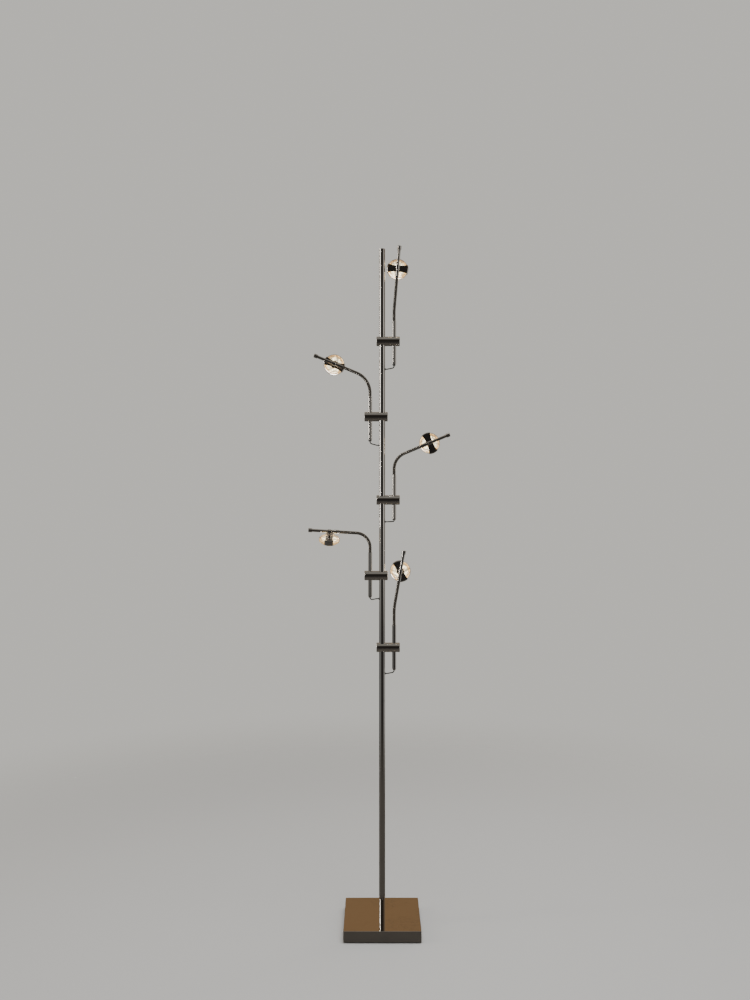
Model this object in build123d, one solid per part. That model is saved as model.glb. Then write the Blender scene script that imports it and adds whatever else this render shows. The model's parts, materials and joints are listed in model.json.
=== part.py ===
from build123d import *
from dataclasses import dataclass
from math import cos, pi, radians, sin, sqrt, tan
import os

# Tree floor lamp in millimetres, +Z up, origin on the floor under the pole.
# A square weighted base carries one pole. Five cross clamps hold five arms, three on the
# right (+X) and two on the left (-X). Each arm is a turned stem, a gooseneck and a short
# rod that carries a glass lens head on a ball. The lenses look back, along +Y.

os.makedirs("parts", exist_ok=True)

# ---- Clearances ---------------------------------------------------------------------------
RUNNING_GAP = 0.05        # radial, where a piece turns in another
SEAT_GAP = 0.1            # radial, where a piece is pushed into another
LEAD_GAP = 0.2            # radial, round a lead in the stem's nose
SIDE_GAP = 0.3            # from the cover's wall to the iron weight
CUT_PAST = 1.0            # how far a cutting outline passes the piece that it cuts

# ---- Base ---------------------------------------------------------------------------------
BASE_SIDE = 200.0
COVER_HEIGHT = 28.5
COVER_WALL = 2.0
COVER_CORNER = 2.5        # upright corners of the cover, outside
COVER_EDGE = 1.0          # rounding of the polished top edge
PAD_THICKNESS = 2.5
PAD_INSET = 6.0           # from the cover's side to the pad's side
PAD_CORNER = 4.0
RECESS_DIA = 30.0         # underside recess for the pole's nut
RECESS_WEB = 13.5         # iron left above the recess
CHANNEL_WIDTH = 8.0       # underside channel for the supply cord
CHANNEL_DEPTH = 11.0

# ---- Cord gland, in the rear wall of the base ---------------------------------------------
GLAND_HEIGHT = 10.5       # axis above the floor
GLAND_DIA = 9.5
GLAND_BORE = 6.5
GLAND_FLANGE_DIA = 14.0
GLAND_FLANGE = 2.0
GLAND_EDGE = 0.7
GLAND_CATCH_DIA = 11.5    # snap collar behind the wall
GLAND_CATCH = 4.0

# ---- Pole ---------------------------------------------------------------------------------
LAMP_HEIGHT = 1800.0      # floor to the top of the pole's cap
POLE_DIA = 16.0
POLE_WALL = 1.5
CAP_THICKNESS = 2.0
CAP_EDGE = 0.8
CAP_PLUG_LENGTH = 10.0
SPIGOT_PLUG_LENGTH = 30.0
SPIGOT_FLANGE_DIA = 17.0  # thin ring that shows under the pole
SPIGOT_FLANGE = 0.8
SPIGOT_BORE = 6.0
STUB_DIA = 10.0           # hollow stub of the spigot, through the base
STUB_BELOW_NUT = 0.7
WASHER_DIA = 24.0
WASHER_THICKNESS = 1.8
NUT_ACROSS_FLATS = 17.0
NUT_HEIGHT = 8.0

# ---- Cross clamps -------------------------------------------------------------------------
CLAMP_DIA = 25.0
ARM_SPACING = 32.0        # pole axis to stem axis
CLAMP_END = 15.0          # stem or pole axis to the clamp's end
CLAMP_EDGE = 1.6
SCREW_DIA = 4.0
SCREW_SINK = 0.6          # screw end below the clamp's round face
SCREW_SOCKET = 2.0        # hexagon across flats
SCREW_SOCKET_DEPTH = 2.0

# ---- Arms ---------------------------------------------------------------------------------
ARM_LENGTH = 320.0        # stem's lower end to the tip, along the arm
STEM_LENGTH = 120.0
STEM_DIA = 10.5
NOSE_LENGTH = 5.0         # tapered lower end of the stem
NOSE_DIA = 7.0
NOSE_PLUG = 10.0          # solid lower end, drilled for the lead
GOOSENECK_SHARE = 0.59    # of the arm past the stem, the rest is the rod
GOOSENECK_DIA = 8.3
GOOSENECK_BORE = 5.0
GOOSENECK_GRIP = 10.0     # inside the stem and inside the ferrule
FERRULE_DIA = 10.0
FERRULE_LENGTH = 14.0
ROD_DIA = 7.8
WIRE_BORE = 4.0
COLLAR_FROM_FERRULE = 5.0
COLLAR_DIA = 10.4
COLLAR_LENGTH = 12.0
COLLAR_EDGE = 0.8
TIP_CAP_DIA = 10.8
TIP_CAP_LENGTH = 10.0
TIP_CAP_ROUND = 1.2
TIP_CAP_SOCKET = 6.0
GROOVE_DIA = 9.4          # turned groove near the cap's inner end
GROOVE_WIDTH = 1.0
GROOVE_FROM_END = 1.6

# ---- Ball stud, measured from the rod's axis ----------------------------------------------
STUD_SEAT = 4.7           # flat on the collar
STUD_DIA = 4.0
STUD_SHANK_END = 2.7      # inner end of the shank
STUD_SHOULDER_DIA = 6.0
STUD_SHOULDER = 0.9
STUD_NECK_DIA = 3.2
STUD_BORE = 1.6
BALL_DIA = 7.0
BALL_FROM_ROD = 12.0      # ball centre to the rod's axis

# ---- Lens head, measured from the ball's centre along the lens axis -----------------------
HUB_DIA = 11.5
HUB_LIP = 1.8             # lip behind the ball's centre
HUB_MOUTH = 0.3           # chamfer round the lip's opening
STRIP_BACK = 2.5          # back face of the strip
STRIP_WALL = 1.8
STRIP_BEND = 3.0          # outside radius where the strip turns into a leg
STRIP_END_WIDTH = 26.0
STRIP_WAIST = 16.0
LEG_WALL = 1.4
LEDGE = 1.1               # inward step behind the lens's rim
CLAW = 0.8                # inward step in front of the lens's rim
LEDGE_THICKNESS = 1.2
LENS_DIA = 55.0
LENS_RIM = 5.0
LENS_DOME_DIA = 52.6
LENS_DOME_HEIGHT = 13.0
LENS_GAP = 0.1            # round the lens's rim in the legs
LENS_FROM_STRIP = 5.8     # strip's inner face to the lens's flat face
HOLDER_DIA = 20.0
HOLDER_THICKNESS = 3.0
HOLDER_EDGE = 0.6
EMITTER_DIA = 6.0
EMITTER_HEIGHT = 1.5

# ---- Leads --------------------------------------------------------------------------------
LEAD_DIA = 2.8
LEAD_IN_STEM = 12.0
LEAD_STRAIGHT = 5.5       # from the pole's face to the lead's last corner outside
LEAD_TURN_IN = 3.2        # first corner inside the pole, from the pole's axis
LEAD_CROSSING = 14.0      # height in which the lead reaches its lane
LEAD_SLACK_BEND = 12.0    # radius of the shallow corners
LEAD_TIGHT_BEND = 3.2     # radius of the turn down inside the pole
LEAD_END_GAP = 0.3        # lead's end above the spigot
GROMMET_DIA = 4.5
GROMMET_FLANGE_DIA = 6.0
GROMMET_FLANGE = 1.2


@dataclass
class Arm:
    """One arm as it is set: lengths in mm, angles in degrees."""

    name: str
    side: int             # +1 right, -1 left
    below_top: float      # clamp's axis below the lamp's top
    tail: float           # stem below the clamp's axis
    corner: float         # crossing of the gooseneck's straight lines, above the stem's top
    bend: float           # turn of the gooseneck from upright
    bend_radius: float
    strip_turn: float     # strip from the rod's direction, about the lens axis
    stud_roll: float      # ball stud, from the back towards the rod's underside
    hole_drop: float      # lead's hole in the pole, below the stem's end
    lead_rise: float      # lead's corner under the stem, above that hole
    lane_radius: float    # lead inside the pole, from the pole's axis
    lane_angle: float     # and its direction there


ARMS = [
    Arm("1", +1, 246.0, 65.0, 27.0, 4.8, 150.0, 90.0, 0.0, 9.0, 3.6, 4.6, -60.0),
    Arm("2", -1, 446.5, 66.0, 48.0, 67.6, 58.0, 0.0, 0.0, 10.0, 5.0, 4.6, 120.0),
    Arm("3", +1, 668.0, 54.0, 46.5, 67.3, 45.0, 90.0, 0.0, 4.0, 1.0, 4.6, 60.0),
    Arm("4", -1, 869.0, 58.5, 49.5, 86.5, 38.0, 90.0, 65.0, 3.0, -3.0, 4.6, 240.0),
    Arm("5", +1, 1060.0, 60.5, 44.5, 9.9, 150.0, -30.0, 0.0, 9.0, 3.4, 0.0, 0.0),
]

# ---- Worked out from the sizes above ------------------------------------------------------
BASE_TOP = PAD_THICKNESS + COVER_HEIGHT
COVER_INSIDE = BASE_SIDE - 2 * COVER_WALL
COVER_INSIDE_TOP = BASE_TOP - COVER_WALL
RECESS_TOP = COVER_INSIDE_TOP - RECESS_WEB
NUT_TOP = RECESS_TOP - WASHER_THICKNESS
STUB_BOTTOM = NUT_TOP - NUT_HEIGHT - STUB_BELOW_NUT
STUB_HOLE = STUB_DIA + 2 * SEAT_GAP
POLE_BORE = POLE_DIA - 2 * POLE_WALL
POLE_FOOT = BASE_TOP + SPIGOT_FLANGE
POLE_TOP = LAMP_HEIGHT - CAP_THICKNESS
SPIGOT_TOP = POLE_FOOT + SPIGOT_PLUG_LENGTH
CLAMP_LENGTH = ARM_SPACING + 2 * CLAMP_END
NECK_SOCKET = GOOSENECK_DIA + 2 * SEAT_GAP
LEAD_HOLE = LEAD_DIA + 2 * LEAD_GAP
GOOSENECK_SHOWN = GOOSENECK_SHARE * (ARM_LENGTH - STEM_LENGTH)
TIP = ARM_LENGTH - STEM_LENGTH - GOOSENECK_SHOWN
CAP_START = TIP - TIP_CAP_LENGTH
HEAD_STATION = FERRULE_LENGTH + COLLAR_FROM_FERRULE + COLLAR_LENGTH / 2
STRIP_INSIDE = STRIP_BACK + STRIP_WALL
HOLDER_FRONT = STRIP_INSIDE + HOLDER_THICKNESS
LENS_FLAT = STRIP_INSIDE + LENS_FROM_STRIP
LENS_FRONT = LENS_FLAT + LENS_RIM
LEG_INSIDE = LENS_DIA / 2 + LENS_GAP
LEG_OUTSIDE = LEG_INSIDE + LEG_WALL
LEG_END = LENS_FRONT + LENS_GAP + LEDGE_THICKNESS
BALL_SOCKET = BALL_DIA / 2 + RUNNING_GAP

UP = Vector(0, 0, 1)
BACK = Vector(0, 1, 0)


# ---- Small helpers ------------------------------------------------------------------------
def half_profile(points):
    """Flat face right of the Z axis from (radius, height) points."""
    return make_face(Polyline(*[(radius, 0, height) for radius, height in points], close=True))


def lathe(points):
    """Solid turned about +Z from a closed half profile of (radius, height) points."""
    return revolve(half_profile(points), Axis.Z)


def post(diameter, low, high):
    """Upright cylinder on the Z axis between two heights."""
    return Pos(0, 0, (low + high) / 2) * Cylinder(diameter / 2, high - low)


def block(width, depth, low, high):
    """Box centred on the Z axis between two heights."""
    return Pos(0, 0, (low + high) / 2) * Box(width, depth, high - low)


def hexagon(across_flats):
    """Flat hexagon for a nut or a socket."""
    return RegularPolygon(across_flats / 2, 6, major_radius=False)


def bar_along(path, diameter):
    """Round bar along a path."""
    return sweep(Plane(path @ 0, z_dir=path % 0) * Circle(diameter / 2), path)


# ---- Where the pieces of an arm lie -------------------------------------------------------
class ArmPlaces:
    """Points, directions and planes of one arm, all from its sizes."""

    def __init__(self, arm):
        stem_x = arm.side * ARM_SPACING
        clamp_height = LAMP_HEIGHT - arm.below_top
        self.clamp_centre = Vector(stem_x / 2, 0, clamp_height)
        self.stem_end = Vector(stem_x, 0, clamp_height - arm.tail)
        self.corner = self.stem_end + UP * (STEM_LENGTH + arm.corner)

        # what the arc cuts off the corner is taken up in the gooseneck's upper straight
        bend = radians(arm.bend)
        self.along = Vector(arm.side * sin(bend), 0, cos(bend))
        corner_cut = 2 * arm.bend_radius * tan(bend / 2) - arm.bend_radius * bend
        self.rod_start = self.corner + self.along * (GOOSENECK_SHOWN - arm.corner + corner_cut)

        # ball stud: square to the rod, at the back, rolled towards the rod's underside
        roll = radians(arm.stud_roll)
        underside = Vector(arm.side * cos(bend), 0, -sin(bend))
        self.stud = BACK * cos(roll) + underside * sin(roll)
        self.head_on_rod = self.rod_start + self.along * HEAD_STATION
        self.ball = self.head_on_rod + self.stud * BALL_FROM_ROD
        turn = radians(arm.strip_turn)
        self.strip = self.along * cos(turn) + self.stud.cross(self.along) * sin(turn)

        self.stem_plane = Plane(self.stem_end, x_dir=(1, 0, 0), z_dir=UP)
        self.rod_plane = Plane(self.rod_start, x_dir=self.stud, z_dir=self.along)
        self.stud_plane = Plane(self.head_on_rod, x_dir=self.along, z_dir=self.stud)
        self.head_plane = Plane(self.ball, x_dir=self.strip, z_dir=self.stud)

        # the lead's hole in the pole and its lane in the bore
        self.hole = UP * (self.stem_end.Z - arm.hole_drop)
        self.hole_plane = Plane(self.hole, z_dir=(arm.side, 0, 0))
        self.lead_corner = self.hole + Vector(stem_x, 0, arm.lead_rise)
        lane = radians(arm.lane_angle)
        self.lane = Vector(cos(lane), sin(lane), 0) * arm.lane_radius


# ---- Base ---------------------------------------------------------------------------------
def base_cover():
    """Polished box, open below, with holes for the pole's stub and the gland."""
    cover = block(BASE_SIDE, BASE_SIDE, PAD_THICKNESS, BASE_TOP)
    cover = fillet(cover.edges().filter_by(Axis.Z), COVER_CORNER)
    cover = fillet(cover.faces().sort_by(Axis.Z)[-1].edges(), COVER_EDGE)
    cover -= block(COVER_INSIDE, COVER_INSIDE, PAD_THICKNESS, COVER_INSIDE_TOP)
    cover -= post(STUB_HOLE, COVER_INSIDE_TOP, BASE_TOP)
    return cover - gland_plane() * post(GLAND_DIA + 2 * SEAT_GAP, -COVER_WALL, 0)


def base_weight():
    """Iron slab in the cover, with the nut's recess, the cord's channel and its pocket."""
    side = COVER_INSIDE - 2 * SIDE_GAP
    weight = block(side, side, PAD_THICKNESS, COVER_INSIDE_TOP)
    weight -= post(RECESS_DIA, PAD_THICKNESS, RECESS_TOP)
    weight -= post(STUB_HOLE, RECESS_TOP, COVER_INSIDE_TOP)
    channel = block(CHANNEL_WIDTH, side / 2, PAD_THICKNESS, PAD_THICKNESS + CHANNEL_DEPTH)
    weight -= Pos(0, side / 4, 0) * channel
    pocket = GLAND_CATCH_DIA / 2 + SIDE_GAP
    rear = gland_plane() * post(2 * pocket, -GLAND_CATCH - 2 * COVER_WALL, 0)
    below = block(2 * pocket, GLAND_CATCH + 2 * COVER_WALL, PAD_THICKNESS, GLAND_HEIGHT)
    return weight - rear - Pos(0, (BASE_SIDE - GLAND_CATCH) / 2 - COVER_WALL, 0) * below


def base_pad():
    """Rubber sheet under the weight, inset so that it does not show."""
    side = BASE_SIDE - 2 * PAD_INSET
    pad = block(side, side, 0, PAD_THICKNESS)
    return fillet(pad.edges().filter_by(Axis.Z), PAD_CORNER)


def base_fasteners():
    """Washer and nut on the spigot's stub, in the recess."""
    washer = post(WASHER_DIA, NUT_TOP, RECESS_TOP) - post(STUB_HOLE, NUT_TOP, RECESS_TOP)
    nut = Pos(0, 0, NUT_TOP - NUT_HEIGHT) * extrude(hexagon(NUT_ACROSS_FLATS), NUT_HEIGHT)
    nut -= post(STUB_HOLE, NUT_TOP - NUT_HEIGHT, NUT_TOP)
    return Compound(children=[washer, nut])


def gland_plane():
    """Plane on the outside of the cover's rear wall, looking back."""
    return Plane((0, BASE_SIDE / 2, GLAND_HEIGHT), x_dir=(1, 0, 0), z_dir=BACK)


def cord_gland():
    """Snap-in bush for the supply cord: flange outside, catch behind the wall."""
    bore, body = GLAND_BORE / 2, GLAND_DIA / 2
    flange, catch = GLAND_FLANGE_DIA / 2, GLAND_CATCH_DIA / 2
    behind = -COVER_WALL - SEAT_GAP
    return gland_plane() * lathe([
        (bore, behind - GLAND_CATCH), (body, behind - GLAND_CATCH),
        (catch, behind - GLAND_CATCH / 4), (catch, behind), (body, behind), (body, 0),
        (flange, 0), (flange, GLAND_FLANGE - GLAND_EDGE),
        (flange - GLAND_EDGE, GLAND_FLANGE), (bore, GLAND_FLANGE),
    ])


# ---- Pole ---------------------------------------------------------------------------------
def pole(places):
    """Tube from the spigot's flange to the cap, drilled for the arm leads."""
    tube = post(POLE_DIA, POLE_FOOT, POLE_TOP) - post(POLE_BORE, POLE_FOOT, POLE_TOP)
    for place in places:
        tube -= place.hole_plane * post(GROMMET_DIA + 2 * SEAT_GAP, 0, POLE_DIA)
    return tube


def pole_cap():
    """Flush disc with a plug in the pole's bore."""
    plug, disc = POLE_BORE / 2 - SEAT_GAP, POLE_DIA / 2
    return lathe([
        (0, POLE_TOP - CAP_PLUG_LENGTH), (plug, POLE_TOP - CAP_PLUG_LENGTH),
        (plug, POLE_TOP), (disc, POLE_TOP), (disc, LAMP_HEIGHT - CAP_EDGE),
        (disc - CAP_EDGE, LAMP_HEIGHT), (0, LAMP_HEIGHT),
    ])


def pole_spigot():
    """Plug in the pole's foot, a thin flange, and the hollow stub that the nut pulls on."""
    plug, bore = POLE_BORE / 2 - SEAT_GAP, SPIGOT_BORE / 2
    stub, flange = STUB_DIA / 2, SPIGOT_FLANGE_DIA / 2
    return lathe([
        (bore, STUB_BOTTOM), (stub, STUB_BOTTOM), (stub, BASE_TOP), (flange, BASE_TOP),
        (flange, POLE_FOOT), (plug, POLE_FOOT), (plug, SPIGOT_TOP), (bore, SPIGOT_TOP),
    ])


# ---- Cross clamps -------------------------------------------------------------------------
def clamp(place):
    """Level cylinder, cross-drilled for the pole and the stem and tapped from the back."""
    level = Plane(place.clamp_centre, z_dir=(1, 0, 0))
    body = level * Cylinder(CLAMP_DIA / 2, CLAMP_LENGTH)
    body = fillet(body.edges().filter_by(GeomType.CIRCLE), CLAMP_EDGE)
    low = place.clamp_centre.Z - CLAMP_DIA
    high = place.clamp_centre.Z + CLAMP_DIA
    body -= post(POLE_DIA + 2 * SEAT_GAP, low, high)
    body -= Pos(place.stem_end.X, 0, 0) * post(STEM_DIA + 2 * RUNNING_GAP, low, high)
    for x in (0, place.stem_end.X):
        tapped = Plane((x, 0, place.clamp_centre.Z), x_dir=(1, 0, 0), z_dir=BACK)
        body -= tapped * post(SCREW_DIA + 2 * RUNNING_GAP, 0, CLAMP_DIA)
    return body


def clamp_screw_pair(place):
    """Socket set screws of one clamp, one facing the pole and one facing the stem."""
    screws = []
    for x, shaft in ((0, POLE_DIA), (place.stem_end.X, STEM_DIA)):
        inner = shaft / 2 + RUNNING_GAP
        outer = CLAMP_DIA / 2 - SCREW_SINK
        screw = post(SCREW_DIA, inner, outer)
        screw -= Pos(0, 0, outer - SCREW_SOCKET_DEPTH) * extrude(hexagon(SCREW_SOCKET), SCREW_DIA)
        at = Plane((x, 0, place.clamp_centre.Z), x_dir=(1, 0, 0), z_dir=BACK)
        screws.append(at * screw)
    return screws


# ---- Arms ---------------------------------------------------------------------------------
def stem(place):
    """Tube that grips the gooseneck above, with a tapered, drilled nose below."""
    outside, bore, lead = STEM_DIA / 2, NECK_SOCKET / 2, LEAD_HOLE / 2
    return place.stem_plane * lathe([
        (lead, 0), (NOSE_DIA / 2, 0), (outside, NOSE_LENGTH), (outside, STEM_LENGTH),
        (bore, STEM_LENGTH), (bore, NOSE_PLUG), (lead, NOSE_PLUG),
    ])


def gooseneck(arm, place):
    """Bendable hose: gripped straight at both ends, one arc between."""
    below = place.stem_end + UP * (STEM_LENGTH - GOOSENECK_GRIP)
    above = place.rod_start + place.along * GOOSENECK_GRIP
    path = FilletPolyline(below, place.corner, above, radius=arm.bend_radius)
    return bar_along(path, GOOSENECK_DIA) - bar_along(path, GOOSENECK_BORE)


def rod(place):
    """Ferrule, rod and the collar whose flat and hole hold the ball stud."""
    low, high = HEAD_STATION - COLLAR_LENGTH / 2, HEAD_STATION + COLLAR_LENGTH / 2
    bar, collar, ferrule = ROD_DIA / 2, COLLAR_DIA / 2, FERRULE_DIA / 2
    turned = lathe([
        (0, 0), (ferrule, 0), (ferrule, FERRULE_LENGTH - COLLAR_EDGE),
        (ferrule - COLLAR_EDGE, FERRULE_LENGTH), (bar, FERRULE_LENGTH), (bar, low),
        (collar - COLLAR_EDGE, low), (collar, low + COLLAR_EDGE),
        (collar, high - COLLAR_EDGE), (collar - COLLAR_EDGE, high), (bar, high),
        (bar, CAP_START + TIP_CAP_SOCKET), (0, CAP_START + TIP_CAP_SOCKET),
    ])
    turned -= post(NECK_SOCKET, 0, GOOSENECK_GRIP)
    turned -= post(WIRE_BORE, GOOSENECK_GRIP, HEAD_STATION)
    across = Plane((0, 0, HEAD_STATION), x_dir=(0, 0, 1), z_dir=(1, 0, 0))
    turned -= across * block(COLLAR_LENGTH, COLLAR_DIA, STUD_SEAT, COLLAR_DIA)
    turned -= across * post(STUD_DIA + 2 * RUNNING_GAP, 0, COLLAR_DIA)
    return place.rod_plane * turned


def tip_cap(place):
    """Turned end cap with a groove near its inner end."""
    socket, outside, groove = ROD_DIA / 2 + RUNNING_GAP, TIP_CAP_DIA / 2, GROOVE_DIA / 2
    groove_start = CAP_START + GROOVE_FROM_END
    return place.rod_plane * lathe([
        (0, CAP_START + TIP_CAP_SOCKET), (socket, CAP_START + TIP_CAP_SOCKET),
        (socket, CAP_START), (outside, CAP_START), (outside, groove_start),
        (groove, groove_start), (groove, groove_start + GROOVE_WIDTH),
        (outside, groove_start + GROOVE_WIDTH), (outside, TIP - TIP_CAP_ROUND),
        (outside - TIP_CAP_ROUND, TIP), (0, TIP),
    ])


def ball_stud(place):
    """Hollow stud that turns in the collar and carries the head on its ball."""
    shank, shoulder, neck = STUD_DIA / 2, STUD_SHOULDER_DIA / 2, STUD_NECK_DIA / 2
    seat = STUD_SEAT + RUNNING_GAP
    stud = lathe([
        (0, STUD_SHANK_END), (shank, STUD_SHANK_END), (shank, seat), (shoulder, seat),
        (shoulder, seat + STUD_SHOULDER), (neck, seat + STUD_SHOULDER),
        (neck, BALL_FROM_ROD), (0, BALL_FROM_ROD),
    ])
    stud += Pos(0, 0, BALL_FROM_ROD) * Sphere(BALL_DIA / 2)
    return place.stud_plane * (stud - post(STUD_BORE, 0, BALL_FROM_ROD + BALL_DIA))


# ---- Lens head ----------------------------------------------------------------------------
def cup():
    """Round cup of the strip's thickness, grooved inside the rim for the lens."""
    ledge, claw = LEG_INSIDE - LEDGE, LEG_INSIDE - CLAW
    ledge_back, claw_back = LENS_FLAT - LEDGE_THICKNESS, LENS_FRONT + LENS_GAP
    profile = half_profile([
        (0, STRIP_BACK), (LEG_OUTSIDE, STRIP_BACK), (LEG_OUTSIDE, LEG_END), (claw, LEG_END),
        (claw, claw_back), (LEG_INSIDE, claw_back), (LEG_INSIDE, LENS_FLAT),
        (ledge, LENS_FLAT), (ledge, ledge_back), (LEG_INSIDE, ledge_back),
        (LEG_INSIDE, STRIP_INSIDE), (0, STRIP_INSIDE),
    ])
    outer = profile.vertices().sort_by_distance((LEG_OUTSIDE, 0, STRIP_BACK))[0]
    profile = fillet(outer, STRIP_BEND)
    inner = profile.vertices().sort_by_distance((LEG_INSIDE, 0, STRIP_INSIDE))[0]
    return revolve(fillet(inner, STRIP_BEND - LEG_WALL), Axis.Z)


def bow_tie():
    """Plan of the strip: wide at both ends, drawn in to a waist by two arcs."""
    end, wide, waist = LEG_OUTSIDE + CUT_PAST, STRIP_END_WIDTH / 2, STRIP_WAIST / 2
    sides = [ThreePointArc((-end, y), (0, y * waist / wide), (end, y)) for y in (wide, -wide)]
    ends = [Line((x, wide), (x, -wide)) for x in (end, -end)]
    return make_face(sides + ends)


def stirrup(place):
    """Bow-tie strip bent round the lens, with the ball's hub at its back."""
    strip = cup() & extrude(bow_tie(), LEG_END + CUT_PAST)
    socket = Sphere(BALL_SOCKET)
    mouth = sqrt(BALL_SOCKET**2 - HUB_LIP**2)
    hub = post(HUB_DIA, -HUB_LIP, STRIP_BACK)
    opening = Pos(0, 0, -HUB_LIP + HUB_MOUTH / 2) * Cone(mouth + HUB_MOUTH, mouth, HUB_MOUTH)
    head = strip + hub - socket - opening - post(STUD_BORE, 0, LEG_END)
    return place.head_plane * head


def led_holder(place):
    """Aluminium disc on the strip's inner face with the emitter's bead."""
    disc, bead = HOLDER_DIA / 2, EMITTER_DIA / 2
    base = lathe([
        (0, STRIP_INSIDE), (disc, STRIP_INSIDE), (disc, HOLDER_FRONT - HOLDER_EDGE),
        (disc - HOLDER_EDGE, HOLDER_FRONT), (0, HOLDER_FRONT),
    ])
    bead_radius = (bead**2 + EMITTER_HEIGHT**2) / (2 * EMITTER_HEIGHT)
    ball = Pos(0, 0, HOLDER_FRONT + EMITTER_HEIGHT - bead_radius) * Sphere(bead_radius)
    return place.head_plane * (base + (ball & post(EMITTER_DIA, STRIP_INSIDE, LENS_FLAT)))


def lens(place):
    """Plano-convex glass lens with a straight rim between ledge and claw."""
    half = LENS_DOME_DIA / 2
    radius = (half**2 + LENS_DOME_HEIGHT**2) / (2 * LENS_DOME_HEIGHT)
    ball = Pos(0, 0, LENS_FRONT + LENS_DOME_HEIGHT - radius) * Sphere(radius)
    dome = ball & post(2 * radius, LENS_FRONT, LENS_FRONT + 2 * LENS_DOME_HEIGHT)
    return place.head_plane * (post(LENS_DIA, LENS_FLAT, LENS_FRONT) + dome)


# ---- Leads --------------------------------------------------------------------------------
def arm_lead(arm, place):
    """Lead from the stem's nose into the pole and down its lane, checked by its volume."""
    side = Vector(arm.side, 0, 0)
    last_corner = place.hole + side * (POLE_DIA / 2 + LEAD_STRAIGHT)
    points = [
        place.stem_end + UP * LEAD_IN_STEM,
        place.lead_corner,
        last_corner,
        place.hole + side * LEAD_TURN_IN,
        place.hole + place.lane - UP * LEAD_CROSSING,
        place.lane + UP * (SPIGOT_TOP + LEAD_END_GAP),
    ]
    turn = radians((-UP).get_angle(last_corner - place.lead_corner))
    exit_bend = (arm.hole_drop - arm.lead_rise) / tan(turn / 2)
    radii = [exit_bend, LEAD_SLACK_BEND, LEAD_TIGHT_BEND, LEAD_SLACK_BEND]
    path = FilletPolyline(*points, radius=radii)
    lead = bar_along(path, LEAD_DIA)
    expected = pi * LEAD_DIA**2 / 4 * path.length
    print(f"arm_lead_{arm.name}: length {path.length:.1f}, volume {lead.volume / expected:.4f} "
          f"of section times length, radii {[round(radius, 1) for radius in radii]}")
    return lead


def lead_grommet(place):
    """Shouldered sleeve in the pole's wall, its flange hollowed to fit the pole."""
    bore = LEAD_DIA + 2 * SEAT_GAP
    face = POLE_DIA / 2
    top = face + GROMMET_FLANGE
    flange = post(GROMMET_FLANGE_DIA, face - GROMMET_FLANGE, top)
    around_pole = Pos(place.hole) * Cylinder(face + RUNNING_GAP, 2 * GROMMET_FLANGE_DIA)
    sleeve = post(GROMMET_DIA, POLE_BORE / 2, top)
    hollow = post(bore, POLE_BORE / 2, top)
    return (place.hole_plane * flange - around_pole) + place.hole_plane * sleeve - (
        place.hole_plane * hollow
    )


# ---- Build --------------------------------------------------------------------------------
def build():
    """Every node of the lamp by name."""
    places = [ArmPlaces(arm) for arm in ARMS]
    grommets = [lead_grommet(place) for place in places]
    screws = [screw for place in places for screw in clamp_screw_pair(place)]
    nodes = {
        "base_cover": base_cover(),
        "base_weight": base_weight(),
        "base_pad": base_pad(),
        "base_fasteners": base_fasteners(),
        "cord_gland": cord_gland(),
        "pole": pole(places),
        "pole_cap": pole_cap(),
        "pole_spigot": pole_spigot(),
        "lead_grommets": Compound(children=grommets),
        "clamp_screws": Compound(children=screws),
    }
    for arm, place in zip(ARMS, places):
        nodes[f"clamp_{arm.name}"] = clamp(place)
        nodes[f"stem_{arm.name}"] = stem(place)
        nodes[f"gooseneck_{arm.name}"] = gooseneck(arm, place)
        nodes[f"rod_{arm.name}"] = rod(place)
        nodes[f"tip_cap_{arm.name}"] = tip_cap(place)
        nodes[f"ball_stud_{arm.name}"] = ball_stud(place)
        nodes[f"stirrup_{arm.name}"] = stirrup(place)
        nodes[f"led_holder_{arm.name}"] = led_holder(place)
        nodes[f"lens_{arm.name}"] = lens(place)
        nodes[f"arm_lead_{arm.name}"] = arm_lead(arm, place)
    return nodes


for node, shape in build().items():
    export_step(shape, f"parts/{node}.step")
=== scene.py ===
# %% [markdown]
# # A tree floor lamp: its looks
# The lamp is a weighted base, a slim pole and five arms, each with a glass lens head. Its rigid
# shapes come from a CAD model, already in place and with real joints. This lesson gives them
# their finishes, winds the five goosenecks, fits the light sources, and lights the scene.

import json
from math import atan2, pi, radians, sin, tan

import bmesh
import bpy
from mathutils import Matrix, Vector


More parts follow.
